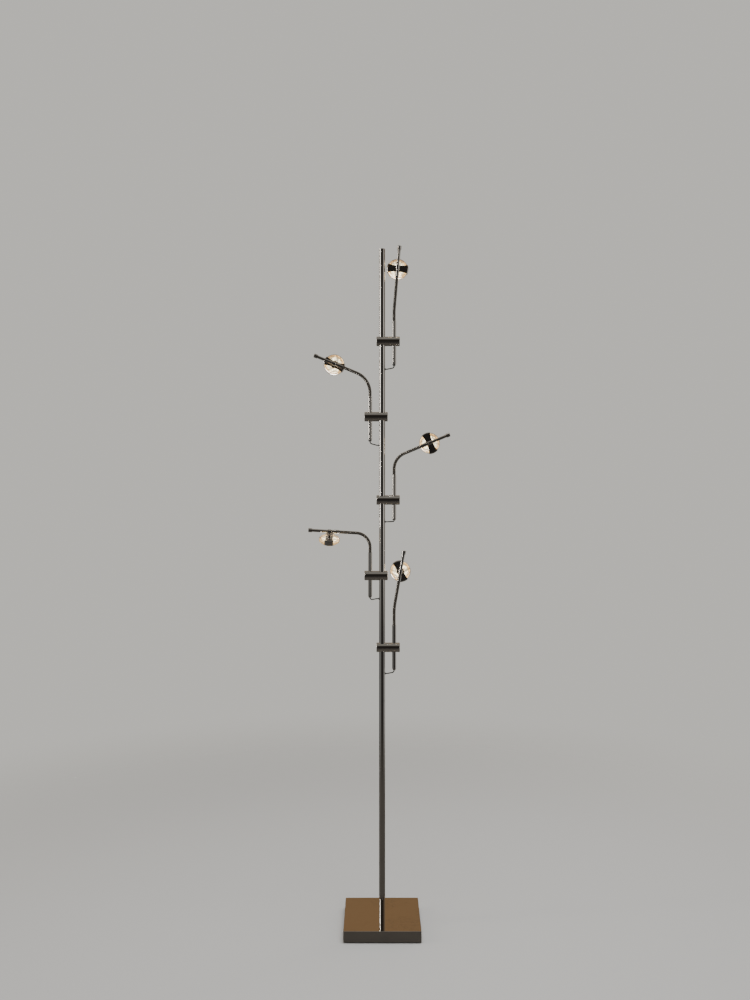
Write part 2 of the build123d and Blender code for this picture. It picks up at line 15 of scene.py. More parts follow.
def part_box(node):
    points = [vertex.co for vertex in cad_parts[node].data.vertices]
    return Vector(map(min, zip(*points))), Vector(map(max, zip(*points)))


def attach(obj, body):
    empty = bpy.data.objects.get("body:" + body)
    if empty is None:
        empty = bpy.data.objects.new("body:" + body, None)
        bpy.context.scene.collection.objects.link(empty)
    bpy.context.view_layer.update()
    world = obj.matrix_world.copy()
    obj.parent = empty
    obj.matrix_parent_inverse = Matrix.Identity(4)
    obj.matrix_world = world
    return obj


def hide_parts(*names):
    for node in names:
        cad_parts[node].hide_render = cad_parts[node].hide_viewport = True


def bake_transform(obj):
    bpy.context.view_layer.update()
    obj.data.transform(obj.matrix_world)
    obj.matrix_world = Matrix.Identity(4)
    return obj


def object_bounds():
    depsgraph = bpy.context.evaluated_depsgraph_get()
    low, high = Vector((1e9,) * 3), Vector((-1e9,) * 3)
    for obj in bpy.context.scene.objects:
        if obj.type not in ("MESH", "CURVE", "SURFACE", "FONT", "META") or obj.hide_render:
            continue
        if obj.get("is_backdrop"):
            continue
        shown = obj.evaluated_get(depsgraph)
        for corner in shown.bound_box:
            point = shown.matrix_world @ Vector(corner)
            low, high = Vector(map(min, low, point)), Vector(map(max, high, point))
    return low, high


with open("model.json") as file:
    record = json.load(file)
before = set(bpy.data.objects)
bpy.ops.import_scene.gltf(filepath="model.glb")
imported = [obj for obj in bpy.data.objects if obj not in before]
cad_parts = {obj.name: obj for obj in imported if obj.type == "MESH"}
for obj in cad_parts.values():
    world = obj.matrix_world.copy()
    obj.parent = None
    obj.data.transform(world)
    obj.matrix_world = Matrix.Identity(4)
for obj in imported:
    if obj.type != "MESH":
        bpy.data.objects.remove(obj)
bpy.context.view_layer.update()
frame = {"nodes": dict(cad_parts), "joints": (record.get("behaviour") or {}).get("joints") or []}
nodes = frame["nodes"]
joints = {joint["name"]: joint for joint in frame["joints"]}
ARM_NUMBERS = [name.split("_")[1] for name in joints if name.startswith("turn_")]

# %% [markdown]
# ## The camera
# The photograph was taken level, a little left of the pole and somewhat above its middle. A
# camera can be set by eye, but here its focal length was worked out in pixels from the picture's
# perspective. Blender wants millimetres on a sensor, so the length is scaled by the sensor's size
# over the picture's long side.

# %% Camera
PICTURE_LONG_SIDE = 1000
FOCAL_LENGTH = 917
CAMERA_PLACE = (-0.0189, -2.440, 1.132)

camera = bpy.data.objects.new("camera", bpy.data.cameras.new("camera"))
camera.data.lens = FOCAL_LENGTH / PICTURE_LONG_SIDE * camera.data.sensor_width
camera.location = CAMERA_PLACE
camera.rotation_euler = (radians(90), 0, 0)
bpy.context.scene.collection.objects.link(camera)
bpy.context.scene.camera = camera
print("camera lens:", round(camera.data.lens, 2), "mm")

# %% [markdown]
# ## Helpers for shader trees
# Every finish below is a small tree of nodes. Made by hand in the editor, each would be a few
# clicks; in a script, one helper that adds a node and fills its inputs keeps each finish short
# enough to read.


# %% Shader helpers
def fill(tree, node, values):
    """Gives a node's inputs their values, or links them where the value is a socket."""
    for name, value in values.items():
        if isinstance(value, bpy.types.NodeSocket):
            tree.links.new(value, node.inputs[name])
        else:
            node.inputs[name].default_value = value


def add_node(tree, kind, values=None, **options):
    """Adds one shader node with its options and inputs."""
    made = tree.nodes.new("ShaderNode" + kind)
    for name, value in options.items():
        setattr(made, name, value)
    fill(tree, made, values or {})
    return made


def math(tree, operation, *values):
    """A sum on one, two or three numbers or sockets."""
    return add_node(tree, "Math", dict(enumerate(values)), operation=operation).outputs[0]


def spread(tree, value, from_low, from_high, to_low=0.0, to_high=1.0):
    """Stretches a value from one range to another, smoothly and without passing its ends."""
    values = {"Value": value, "From Min": from_low, "From Max": from_high,
              "To Min": to_low, "To Max": to_high}
    return add_node(tree, "MapRange", values, interpolation_type="SMOOTHSTEP").outputs["Result"]


def mix(tree, mask, first, second):
    """The first colour where the mask is 0 and the second where it is 1."""
    values = {"Fac": mask, "Color1": first, "Color2": second}
    return add_node(tree, "MixRGB", values).outputs["Color"]


def ramp(tree, value, stops):
    """A colour ramp through (position, colour) stops."""
    made = add_node(tree, "ValToRGB", {"Fac": value})
    elements = made.color_ramp.elements
    for element, (position, colour) in zip((elements[0], elements[-1]), (stops[0], stops[-1])):
        element.position = position
        element.color = (*colour, 1)
    for position, colour in stops[1:-1]:
        elements.new(position).color = (*colour, 1)
    return made.outputs["Color"]


def shade(colour, factor):
    """A copy of a colour, that many times as bright."""
    return [factor * part for part in colour[:3]] + [1]


print("shader helpers ready")

# %% [markdown]
# ## The floor
# A studio floor only has to catch the lamp's shadow, so a plain disc is enough.
# Its edge fades out into the background, so that no horizon line cuts across the lamp. Polished
# metal would turn pale over a pale floor, and the real one stood over a dim one, so the mirrors
# are shown a darker floor than the camera.

# %% Floor
FLOOR_RADIUS = 9.0
FLOOR_CORNERS = 96
FLOOR_SOLID_TO = 0.9
FLOOR_GONE_AT = 2.5
FLOOR_COLOUR = (0.50, 0.49, 0.475, 1)
FLOOR_IN_MIRRORS = (0.050, 0.045, 0.040, 1)
FLOOR_ROUGHNESS = 0.72
MOTTLES_PER_METRE = 260.0
MOTTLE_SHADE = 0.93

floor_mesh = bmesh.new()
bmesh.ops.create_circle(floor_mesh, cap_ends=True, radius=FLOOR_RADIUS, segments=FLOOR_CORNERS)
floor = bpy.data.objects.new("floor", bpy.data.meshes.new("floor"))
floor_mesh.to_mesh(floor.data)
floor_mesh.free()
bpy.context.scene.collection.objects.link(floor)
floor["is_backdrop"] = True

floor_paint = bpy.data.materials.new("pale_floor")
floor_paint.use_nodes = True
tree = floor_paint.node_tree
place = add_node(tree, "TexCoord").outputs["Object"]
distance = add_node(tree, "VectorMath", {0: place}, operation="LENGTH").outputs["Value"]
mottle = add_node(tree, "TexNoise", {
    "Vector": place, "Scale": MOTTLES_PER_METRE, "Detail": 3.0,
}).outputs["Fac"]
in_mirror = add_node(tree, "LightPath").outputs["Is Glossy Ray"]
pale = mix(tree, mottle, FLOOR_COLOUR, shade(FLOOR_COLOUR, MOTTLE_SHADE))
fill(tree, tree.nodes["Principled BSDF"], {
    "Base Color": mix(tree, in_mirror, pale, FLOOR_IN_MIRRORS),
    "Roughness": FLOOR_ROUGHNESS,
    "Alpha": spread(tree, distance, FLOOR_SOLID_TO, FLOOR_GONE_AT, 1.0, 0.0),
})
floor.data.materials.append(floor_paint)
print("floor radius:", FLOOR_RADIUS, "m")

# %% [markdown]
# ## The surroundings
# Polished nickel has almost no colour of its own: it shows the room. In the photograph the tubes
# have a black stripe in the middle, because the room in front of the lamp is dark, one bright
# line left of it, and greys at the sides. A photo of a room could be used as a world, but a few
# stops on a ramp that runs round the compass give the same stripes and stay easy to change.
# Level tubes, such as the clamps, show what lies above and below them. So one ramp serves the
# lamp's own height, one higher up and one lower down, and a single tone closes the ceiling. The
# camera itself sees one pale tone instead.

# %% Surroundings
BACKGROUND = (0.60, 0.585, 0.545, 1)
ROUND_THE_ROOM = [
    (0.00, (0.26, 0.24, 0.21)), (0.22, (0.28, 0.26, 0.24)), (0.30, (0.34, 0.33, 0.31)),
    (0.37, (0.26, 0.26, 0.25)), (0.405, (0.020, 0.018, 0.016)), (0.60, (0.014, 0.012, 0.011)),
    (0.63, (0.60, 0.58, 0.54)), (0.70, (0.50, 0.48, 0.45)), (0.76, (0.14, 0.13, 0.12)),
    (1.00, (0.26, 0.24, 0.21)),
]
HIGHER_UP = [
    (0.00, (0.23, 0.14, 0.07)), (0.18, (0.20, 0.15, 0.10)), (0.40, (0.030, 0.026, 0.022)),
    (0.60, (0.025, 0.021, 0.018)), (0.82, (0.20, 0.15, 0.10)), (1.00, (0.23, 0.14, 0.07)),
]
LOWER_DOWN = [
    (0.00, (0.05, 0.05, 0.05)), (0.28, (0.10, 0.10, 0.10)), (0.34, (0.24, 0.24, 0.23)),
    (0.40, (0.030, 0.028, 0.026)), (0.60, (0.024, 0.022, 0.020)), (0.66, (0.05, 0.05, 0.05)),
    (0.74, (0.42, 0.41, 0.39)), (0.84, (0.20, 0.20, 0.19)), (1.00, (0.05, 0.05, 0.05)),
]
CEILING = (0.24, 0.23, 0.21, 1)
HIGHER_UP_BAND = (0.18, 0.36)
CEILING_BAND = (0.55, 0.9)
LOWER_DOWN_BAND = (-0.16, -0.03)

world = bpy.data.worlds.new("studio")
world.use_nodes = True
bpy.context.scene.world = world
tree = world.node_tree
direction = add_node(tree, "TexCoord").outputs["Generated"]
front_first = add_node(tree, "Mapping", {"Vector": direction, "Rotation": (0, 0, radians(90))})
compass = add_node(tree, "TexGradient", {"Vector": front_first.outputs["Vector"]},
                   gradient_type="RADIAL").outputs["Fac"]
height = add_node(tree, "SeparateXYZ", {0: direction}).outputs["Z"]
walls = mix(tree, spread(tree, height, *HIGHER_UP_BAND), ramp(tree, compass, ROUND_THE_ROOM),
            ramp(tree, compass, HIGHER_UP))
above = mix(tree, spread(tree, height, *CEILING_BAND), walls, CEILING)
room = mix(tree, spread(tree, height, *LOWER_DOWN_BAND), ramp(tree, compass, LOWER_DOWN), above)
seen = add_node(tree, "LightPath").outputs["Is Camera Ray"]
fill(tree, tree.nodes["Background"], {"Color": mix(tree, seen, room, BACKGROUND)})
print("surroundings:", len(ROUND_THE_ROOM), "tones round the room,", len(HIGHER_UP), "higher up,",
      len(LOWER_DOWN), "lower down")

# %% [markdown]
# ## The lights
# Real product photographs use softboxes: large, dim panels that give soft shadows and long clean
# reflections. A sun lamp would be simpler, but on a mirror finish it shows as a hard dot. A tall
# panel at the left gives each tube its bright line. The others only light the floor and the
# dull surfaces, so they are hidden from reflections.


# %% Lights
def softbox(name, place, aim, width, height, watts, colour, mirrored=False):
    """An area light that faces a point, shown in reflections or not."""
    light = bpy.data.lights.new(name, "AREA")
    light.shape = "RECTANGLE"
    light.size = width
    light.size_y = height
    light.energy = watts
    light.color = colour
    box = bpy.data.objects.new(name, light)
    box.location = place
    box.rotation_euler = (Vector(aim) - Vector(place)).to_track_quat("-Z", "Y").to_euler()
    box.visible_glossy = mirrored
    bpy.context.scene.collection.objects.link(box)
    return box


WARM = (1.0, 0.95, 0.88)
COOL = (0.95, 0.98, 1.0)
softboxes = [
    softbox("left_panel", (-3.15, -0.55, 1.95), (0, 0, 1.5), 0.30, 2.0, 28, WARM, mirrored=True),
    softbox("overhead_panel", (0.3, -0.4, 3.6), (0, 0, 0), 2.6, 2.2, 150, COOL),
    softbox("rear_panel", (2.4, 1.9, 1.5), (0, 0, 1.0), 0.5, 2.2, 22, WARM),
    softbox("fill_panel", (1.6, -3.4, 2.6), (0, 0, 0.8), 1.6, 1.6, 30, COOL),
]
print("lights:", [box.name for box in softboxes])

# %% [markdown]
# ## Effects that several finishes share
# Finger marks, hairlines, dust and a grained skin turn up on many pieces. Each is a node group
# with named inputs, like a small plug-in, so that every material can use it with its own
# numbers. They read object coordinates, which are metres on these pieces, so a size of 0.02 is
# really 20 mm.


# %% Start a shared effect
def start_group(name, inputs, outputs):
    """An empty node group: its tree, the sockets to read and the sockets to fill."""
    tree = bpy.data.node_groups.new(name, "ShaderNodeTree")
    for label, (kind, value) in inputs.items():
        socket = tree.interface.new_socket(label, in_out="INPUT", socket_type=kind)
        socket.default_value = value
    for label, kind in outputs.items():
        tree.interface.new_socket(label, in_out="OUTPUT", socket_type=kind)
    return tree, tree.nodes.new("NodeGroupInput").outputs, tree.nodes.new("NodeGroupOutput")


NUMBER = "NodeSocketFloat"
VECTOR = "NodeSocketVector"
COLOUR = "NodeSocketColor"
print("group helper ready")

# %% [markdown]
# ### Hand marks
# Polished metal is never evenly clean. Fingers leave soft patches that are a little duller. A
# painted mask would need an image, so two sizes of noise are multiplied: large patches, broken
# up by small ones.

# %% Hand marks
SMEARS_PER_PATCH = 7.0
PATCH_EDGE = 0.18
SMEAR_BAND = (0.36, 0.68)

hand_marks, read, out = start_group(
    "hand_marks", {"Patch Size": (NUMBER, 0.04), "Cover": (NUMBER, 0.5)}, {"Mask": NUMBER}
)
place = add_node(hand_marks, "TexCoord").outputs["Object"]
per_metre = math(hand_marks, "DIVIDE", 1.0, read["Patch Size"])
patches = add_node(hand_marks, "TexNoise", {"Vector": place, "Scale": per_metre, "Detail": 2.0})
smears = add_node(hand_marks, "TexNoise", {
    "Vector": place, "Detail": 4.0, "Distortion": 1.2,
    "Scale": math(hand_marks, "MULTIPLY", per_metre, SMEARS_PER_PATCH),
})
edge = math(hand_marks, "SUBTRACT", 1.0, read["Cover"])
big = spread(hand_marks, patches.outputs["Fac"], edge, math(hand_marks, "ADD", edge, PATCH_EDGE))
small = spread(hand_marks, smears.outputs["Fac"], *SMEAR_BAND)
fill(hand_marks, out, {"Mask": math(hand_marks, "MULTIPLY", big, small)})
print("group:", hand_marks.name)

# %% [markdown]
# ### Hairlines
# Polishing wheels and cloths leave lines that are much longer than they are wide. Noise becomes
# lines when its space is squeezed along one direction, so the group takes the number of lines
# per metre across each axis.

# %% Hairlines
LINE_BAND = (0.3, 0.7)

hairlines, read, out = start_group(
    "hairlines", {"Vector": (VECTOR, (0, 0, 0)), "Lines Per Metre": (VECTOR, (900, 900, 20))},
    {"Height": NUMBER},
)
squeezed = add_node(hairlines, "VectorMath", {0: read["Vector"], 1: read["Lines Per Metre"]},
                    operation="MULTIPLY").outputs["Vector"]
fine = add_node(hairlines, "TexNoise", {"Vector": squeezed, "Scale": 1.0, "Detail": 3.0})
fill(hairlines, out, {"Height": spread(hairlines, fine.outputs["Fac"], *LINE_BAND)})
print("group:", hairlines.name)

# %% [markdown]
# ### Settled dust
# What faces up gathers dust. The surface's own normal tells which way it faces, so no painting
# is needed, and a fine noise makes the layer uneven.

# %% Settled dust
DUST_SLOPE = (0.8, 1.0)
SPECK_BAND = (0.5, 0.72)
DRIFTS_PER_METRE = 18.0
DRIFT_BAND = (0.3, 0.7)

settled_dust, read, out = start_group(
    "settled_dust", {"Grain": (NUMBER, 0.0016), "Amount": (NUMBER, 0.3)}, {"Mask": NUMBER}
)
facing = add_node(settled_dust, "SeparateXYZ",
                  {0: add_node(settled_dust, "NewGeometry").outputs["Normal"]}).outputs["Z"]
place = add_node(settled_dust, "TexCoord").outputs["Object"]
specks = add_node(settled_dust, "TexNoise", {
    "Vector": place, "Scale": math(settled_dust, "DIVIDE", 1.0, read["Grain"]), "Detail": 5.0,
})
drifts = add_node(settled_dust, "TexNoise", {
    "Vector": place, "Scale": DRIFTS_PER_METRE, "Detail": 2.0,
})
layer = math(settled_dust, "MULTIPLY", spread(settled_dust, facing, *DUST_SLOPE),
             spread(settled_dust, specks.outputs["Fac"], *SPECK_BAND))
uneven = math(settled_dust, "MULTIPLY", layer,
              spread(settled_dust, drifts.outputs["Fac"], *DRIFT_BAND))
fill(settled_dust, out, {"Mask": math(settled_dust, "MULTIPLY", uneven, read["Amount"])})
print("group:", settled_dust.name)

# %% [markdown]
# ### Grained skin
# Rubber takes the fine pebbling of its mould, and cast iron the coarser sand of its own. Both
# are cells with rounded tops: Voronoi distance gives them, and noise keeps them irregular.

# %% Grained skin
GRIT_PER_CELL = 0.45

grained_skin, read, out = start_group(
    "grained_skin", {"Grain": (NUMBER, 0.0015), "Roughening": (NUMBER, 0.5)},
    {"Height": NUMBER, "Tone": NUMBER},
)
place = add_node(grained_skin, "TexCoord").outputs["Object"]
per_metre = math(grained_skin, "DIVIDE", 1.0, read["Grain"])
cells = add_node(grained_skin, "TexVoronoi", {"Vector": place, "Scale": per_metre},
                 feature="SMOOTH_F1").outputs["Distance"]
grit = add_node(grained_skin, "TexNoise", {
    "Vector": place, "Detail": 6.0,
    "Scale": math(grained_skin, "MULTIPLY", per_metre, GRIT_PER_CELL),
}).outputs["Fac"]
rough = math(grained_skin, "MULTIPLY", grit, read["Roughening"])
fill(grained_skin, out, {"Height": math(grained_skin, "SUBTRACT", rough, cells), "Tone": grit})
print("group:", grained_skin.name)

# %% [markdown]
# ## Polished nickel
# Nearly all that shows is nickel-plated and polished: the cover, the pole, the clamps and the
# arms. A fully metallic shader with a low roughness makes the mirror. Hand marks raise the
# roughness in patches, and hairlines barely bend the reflections. Tubes are drawn, so their
# lines run along them; turned pieces have rings; sheet has lines both ways. The bent strips are
# handled most and are less bright. The hoses' wire is duller still, and its colour is painted
# darker: painted shade for the light that is lost between its turns.

# %% Polished nickel
NICKEL = (0.78, 0.755, 0.72, 1)
# The wire's darker colour is painted shade, for the light lost between the hose's turns.
WIRE_NICKEL_PAINTED_SHADE = (0.40, 0.38, 0.35, 1)
MARKS_COVER = 0.52
MARKS_DARKEN = 0.5
NICKEL_DUST = 0.35
DULL_SHADE = 0.78
DULL_ROUGHENS = 0.12
HAIRLINE_STRENGTH = 0.08
HAIRLINE_DEPTH = 0.00002


def start_material(name):
    """A new material: itself, its tree and its main shader."""
    material = bpy.data.materials.new(name)
    material.use_nodes = True
    return material, material.node_tree, material.node_tree.nodes["Principled BSDF"]


def polished_nickel(name, lines_per_metre, patch_size, roughness=0.045, colour=NICKEL):
    """Mirror-polished nickel plate with hairlines and hand marks."""
    material, tree, shader = start_material(name)
    place = add_node(tree, "TexCoord").outputs["Object"]
    marks = add_node(tree, "Group", {"Patch Size": patch_size, "Cover": MARKS_COVER},
                     node_tree=hand_marks).outputs["Mask"]
    dust = add_node(tree, "Group", {"Amount": NICKEL_DUST}, node_tree=settled_dust).outputs["Mask"]
    lines = add_node(tree, "Group", {"Vector": place, "Lines Per Metre": lines_per_metre},
                     node_tree=hairlines).outputs["Height"]
    dull = math(tree, "MAXIMUM", math(tree, "MULTIPLY", marks, MARKS_DARKEN), dust)
    fill(tree, shader, {
        "Base Color": mix(tree, dull, colour, shade(colour, DULL_SHADE)),
        "Metallic": 1.0,
        "Roughness": spread(tree, math(tree, "MAXIMUM", marks, dust), 0.0, 1.0,
                            roughness, roughness + DULL_ROUGHENS),
        "Normal": add_node(tree, "Bump", {
            "Height": lines, "Strength": HAIRLINE_STRENGTH, "Distance": HAIRLINE_DEPTH,
        }).outputs["Normal"],
    })
    return material


nickel_tube = polished_nickel("nickel_tube", (2600, 2600, 30), patch_size=0.05)
nickel_turned = polished_nickel("nickel_turned", (2400, 300, 2400), patch_size=0.02)
nickel_sheet = polished_nickel("nickel_sheet", (1400, 260, 500), patch_size=0.06)
nickel_strip = polished_nickel("nickel_strip", (500, 500, 2600), patch_size=0.008, roughness=0.12)
# The hoses' wire: duller, with its colour painted darker as shade.
nickel_wire_painted_shade = polished_nickel("nickel_wire_painted_shade", (900, 900, 900), patch_size=0.02, roughness=0.24,
                              colour=WIRE_NICKEL_PAINTED_SHADE)
print("nickel finishes:", nickel_tube.name, nickel_turned.name, nickel_sheet.name,
      nickel_strip.name, nickel_wire_painted_shade.name)

# %% [markdown]
# ## Rubber, iron and small steel
# The pad, the gland, the lead sleeves and the leads' covering are dark and soft, the weight is
# rough iron, and the screws are bright zinc. Their grain sizes differ a lot, which is what tells
# the eye the materials apart.


# %% Rubber, iron and steel
RUBBER_DUST = 0.5
TONE_LIGHTENS = 0.35
LIGHTER_TIMES = 2.2
LIGHTER_PLUS = 0.01
TONE_BAND = (0.2, 0.8)
FRECKLE_BAND = (0.6, 0.75)
IRON_BLACK = (0.035, 0.034, 0.033, 1)
IRON_RUST = (0.10, 0.055, 0.03, 1)
ZINC = (0.56, 0.58, 0.61, 1)
ZINC_MARKED = (0.40, 0.40, 0.40, 1)


def black_rubber(name, colour, roughness, grain, depth):
    """Dark moulded rubber or cable covering with a fine skin."""
    material, tree, shader = start_material(name)
    skin = add_node(tree, "Group", {"Grain": grain, "Roughening": 0.6}, node_tree=grained_skin)
    dust = add_node(tree, "Group", {"Amount": RUBBER_DUST}, node_tree=settled_dust).outputs["Mask"]
    lifted = [min(1.0, part * LIGHTER_TIMES + LIGHTER_PLUS) for part in colour[:3]] + [1]
    worn = math(tree, "MULTIPLY", skin.outputs["Tone"], TONE_LIGHTENS)
    fill(tree, shader, {
        "Base Color": mix(tree, math(tree, "MAXIMUM", dust, worn), colour, lifted),
        "Roughness": spread(tree, skin.outputs["Tone"], *TONE_BAND,
                            roughness - 0.08, roughness + 0.1),
        "Normal": add_node(tree, "Bump", {
            "Height": skin.outputs["Height"], "Strength": 0.5, "Distance": depth,
        }).outputs["Normal"],
    })
    return material


def cast_iron(name):
    """Blackened iron with sand texture and rust freckles."""
    material, tree, shader = start_material(name)
    skin = add_node(tree, "Group", {"Grain": 0.0035, "Roughening": 1.2}, node_tree=grained_skin)
    freckles = spread(tree, skin.outputs["Tone"], *FRECKLE_BAND)
    fill(tree, shader, {
        "Base Color": mix(tree, freckles, IRON_BLACK, IRON_RUST),
        "Metallic": 0.6,
        "Roughness": spread(tree, skin.outputs["Tone"], *TONE_BAND, 0.45, 0.8),
        "Normal": add_node(tree, "Bump", {
            "Height": skin.outputs["Height"], "Strength": 0.7, "Distance": 0.0006,
        }).outputs["Normal"],
    })
    return material


def zinc_steel(name):
    """Bright zinc plate: slightly bluish, with cloudy roughness."""
    material, tree, shader = start_material(name)
    marks = add_node(tree, "Group", {"Patch Size": 0.004, "Cover": 0.6},
                     node_tree=hand_marks).outputs["Mask"]
    fill(tree, shader, {
        "Base Color": mix(tree, marks, ZINC, ZINC_MARKED),
        "Metallic": 1.0,
        "Roughness": spread(tree, marks, 0.0, 1.0, 0.22, 0.42),
    })
    return material


pad_rubber = black_rubber("pad_rubber", (0.018, 0.018, 0.018, 1), roughness=0.72,
                          grain=0.0018, depth=0.0003)
bush_rubber = black_rubber("bush_rubber", (0.012, 0.012, 0.012, 1), roughness=0.45,
                           grain=0.0006, depth=0.00005)
lead_cover = black_rubber("lead_cover", (0.004, 0.004, 0.004, 1), roughness=0.50,
                          grain=0.0011, depth=0.00004)
weight_iron = cast_iron("weight_iron")
screw_zinc = zinc_steel("screw_zinc")
print("other finishes:", pad_rubber.name, bush_rubber.name, lead_cover.name, weight_iron.name,
      screw_zinc.name)

# %% [markdown]
# ## Where each head stands
# A lens's glow and a holder's turning rings follow the head, not the room, so their patterns
# need the head's own axes. The joints hold them: a head spins about its lens axis and tilts
# about its strip. A Mapping node of the Texture kind undoes that place and turn.


# %% Head axes
def head_matrix(number):
    """The head's place: x along its strip, z along the lens axis, origin in the ball."""
    lens_axis = Vector(joints[f"spin_{number}"]["axis"])
    strip = Vector(joints[f"tilt_{number}"]["axis"])
    turned = Matrix((strip, lens_axis.cross(strip), lens_axis)).transposed().to_4x4()
    return Matrix.Translation(joints[f"tilt_{number}"]["pos_m"]) @ turned


def on_head(tree, number):
    """Object coordinates taken into the head's own axes."""
    matrix = head_matrix(number)
    values = {"Vector": add_node(tree, "TexCoord").outputs["Object"],
              "Location": matrix.translation, "Rotation": matrix.to_euler()}
    return add_node(tree, "Mapping", values, vector_type="TEXTURE").outputs["Vector"]


def from_axis(tree, vector):
    """Distance from the lens axis, and height along it."""
    flat = add_node(tree, "VectorMath", {0: vector, 1: (1, 1, 0)}, operation="MULTIPLY")
    radius = add_node(tree, "VectorMath", {0: flat.outputs["Vector"]}, operation="LENGTH")
    return radius.outputs["Value"], add_node(tree, "SeparateXYZ", {0: vector}).outputs["Z"]


for number in ARM_NUMBERS:
    print("head", number, "ball at", [round(v, 4) for v in head_matrix(number).translation])

# %% [markdown]
# ## The lit glass
# Each lens is a thick disc of clear glass with a domed front. Light that the glass scatters
# makes its back glow, palest about half way out and amber near the middle and the rim. Tracing
# that scatter would take a very long render. An emission in rings, broken up into glints, comes
# near to that look from every side and needs no extra rays.

# %% Lit glass
LENS_RADIUS = 0.0275
LENS_BACK = 0.0101
LENS_TOP = 0.0281
GLOW_RINGS = [
    (0.00, (0.10, 0.05, 0.02)), (0.24, (0.30, 0.16, 0.06)), (0.36, (0.95, 0.66, 0.32)),
    (0.50, (1.00, 0.91, 0.66)), (0.64, (0.95, 0.78, 0.46)), (0.80, (0.34, 0.20, 0.07)),
    (0.93, (0.10, 0.05, 0.02)), (1.00, (0.02, 0.01, 0.004)),
]
GLINT_SCALE = 180.0
GLINT_BAND = (0.75, 0.15)
GLINT_DIMMEST = 0.08
TOP_DIMMEST = 0.15
GLOW_STRENGTH = 4.0
RIM_FROM = 0.97
# The rim's dark amber is painted shade: it stands in for the dark edge of the glass.
RIM_PAINTED_SHADE = (0.22, 0.17, 0.11, 1)
CLEAR_GLASS = (0.985, 0.995, 0.99, 1)
TOUCHED_GLASS = (0.95, 0.955, 0.94, 1)

lens_glow, read, out = start_group(
    "lens_glow", {"Vector": (VECTOR, (0, 0, 0))}, {"Glow": COLOUR, "Rim": NUMBER}
)
radius, height = from_axis(lens_glow, read["Vector"])
share = math(lens_glow, "DIVIDE", radius, LENS_RADIUS)
glints = add_node(lens_glow, "TexVoronoi", {"Vector": read["Vector"], "Scale": GLINT_SCALE},
                  feature="F1").outputs["Distance"]
broken = math(lens_glow, "MULTIPLY", spread(lens_glow, glints, *GLINT_BAND, GLINT_DIMMEST, 1.0),
              spread(lens_glow, height, LENS_BACK, LENS_TOP, 1.0, TOP_DIMMEST))
fill(lens_glow, out, {
    "Glow": mix(lens_glow, broken, (0, 0, 0, 1), ramp(lens_glow, share, GLOW_RINGS)),
    "Rim": spread(lens_glow, share, RIM_FROM, 1.0),
})


def lit_glass(number):
    """Clear lens glass with its glow, a rim painted dark as shade, and soft finger marks."""
    material, tree, shader = start_material(f"lit_glass_{number}")
    marks = add_node(tree, "Group", {"Patch Size": 0.012, "Cover": 0.5},
                     node_tree=hand_marks).outputs["Mask"]
    glow = add_node(tree, "Group", {"Vector": on_head(tree, number)}, node_tree=lens_glow)
    clear = mix(tree, marks, CLEAR_GLASS, TOUCHED_GLASS)
    fill(tree, shader, {
        # Painted shade: the rim of the glass gets a dark colour.
        "Base Color": mix(tree, glow.outputs["Rim"], clear, RIM_PAINTED_SHADE),
        "Metallic": 0.0,
        "Roughness": spread(tree, marks, 0.0, 1.0, 0.0, 0.06),
        "IOR": 1.5,
        "Transmission Weight": 1.0,
        "Emission Color": glow.outputs["Glow"],
        "Emission Strength": GLOW_STRENGTH,
    })
    return material


print("glow rings:", len(GLOW_RINGS))

# %% [markdown]
# ## The light's holder
# Behind each lens sits a turned aluminium disc with the light source in its middle. Turning
# leaves fine rings round the axis, so the lines are squeezed by the distance from it. The bead
# in the middle is part of the same solid, and a mask by distance makes only the bead shine.

# %% Light holder
BEAD_RADIUS = 0.003
BEAD_MARGIN = 0.0001
HOLDER_FACE = 0.0073
BEAD_COLOUR = (1.0, 0.83, 0.55, 1)
BEAD_STRENGTH = 14.0
TURNED_LIGHT = (0.80, 0.80, 0.79, 1)
TURNED_DARK = (0.66, 0.66, 0.66, 1)


def light_holder(number):
    """Turned aluminium with a shining bead in its middle."""
    material, tree, shader = start_material(f"light_holder_{number}")
    radius, height = from_axis(tree, on_head(tree, number))
    rings = add_node(tree, "CombineXYZ", {"X": radius, "Z": height}).outputs["Vector"]
    lines = add_node(tree, "Group", {"Vector": rings, "Lines Per Metre": (9000, 1, 9000)},
                     node_tree=hairlines).outputs["Height"]
    inside = math(tree, "LESS_THAN", radius, BEAD_RADIUS + BEAD_MARGIN)
    bead = math(tree, "MULTIPLY", inside, math(tree, "GREATER_THAN", height, HOLDER_FACE))
    fill(tree, shader, {
        "Base Color": mix(tree, lines, TURNED_LIGHT, TURNED_DARK),
        "Metallic": 1.0,
        "Roughness": spread(tree, lines, 0.0, 1.0, 0.24, 0.40),
        "Normal": add_node(tree, "Bump", {"Height": lines, "Strength": 0.5, "Distance": 0.00003}
                           ).outputs["Normal"],
        "Emission Color": mix(tree, bead, (0, 0, 0, 1), BEAD_COLOUR),
        "Emission Strength": BEAD_STRENGTH,
    })
    return material


print("bead radius:", BEAD_RADIUS * 1000, "mm")

# %% [markdown]
# ## Dress the frame
# The CAD pieces keep their shapes. Each only gets its finish, chosen by the first words of its
# name, so that one line covers the same piece on all five arms.

# %% Dress the frame
FINISHES = {
    "base_cover": nickel_sheet, "base_weight": weight_iron, "base_pad": pad_rubber,
    "base_fasteners": screw_zinc, "cord_gland": bush_rubber, "pole_cap": nickel_turned,
    "pole_spigot": nickel_turned, "pole": nickel_tube, "lead_grommets": bush_rubber,
    "clamp_screws": screw_zinc, "clamp": nickel_turned, "stem": nickel_tube,
    "gooseneck": nickel_tube, "rod": nickel_tube, "tip_cap": nickel_turned,
    "ball_stud": nickel_turned, "stirrup": nickel_strip, "arm_lead": lead_cover,
}


def dress(piece, *finishes):
    """Gives a piece its materials, in place of any that it has."""
    piece.data.materials.clear()
    for finish in finishes:
        piece.data.materials.append(finish)


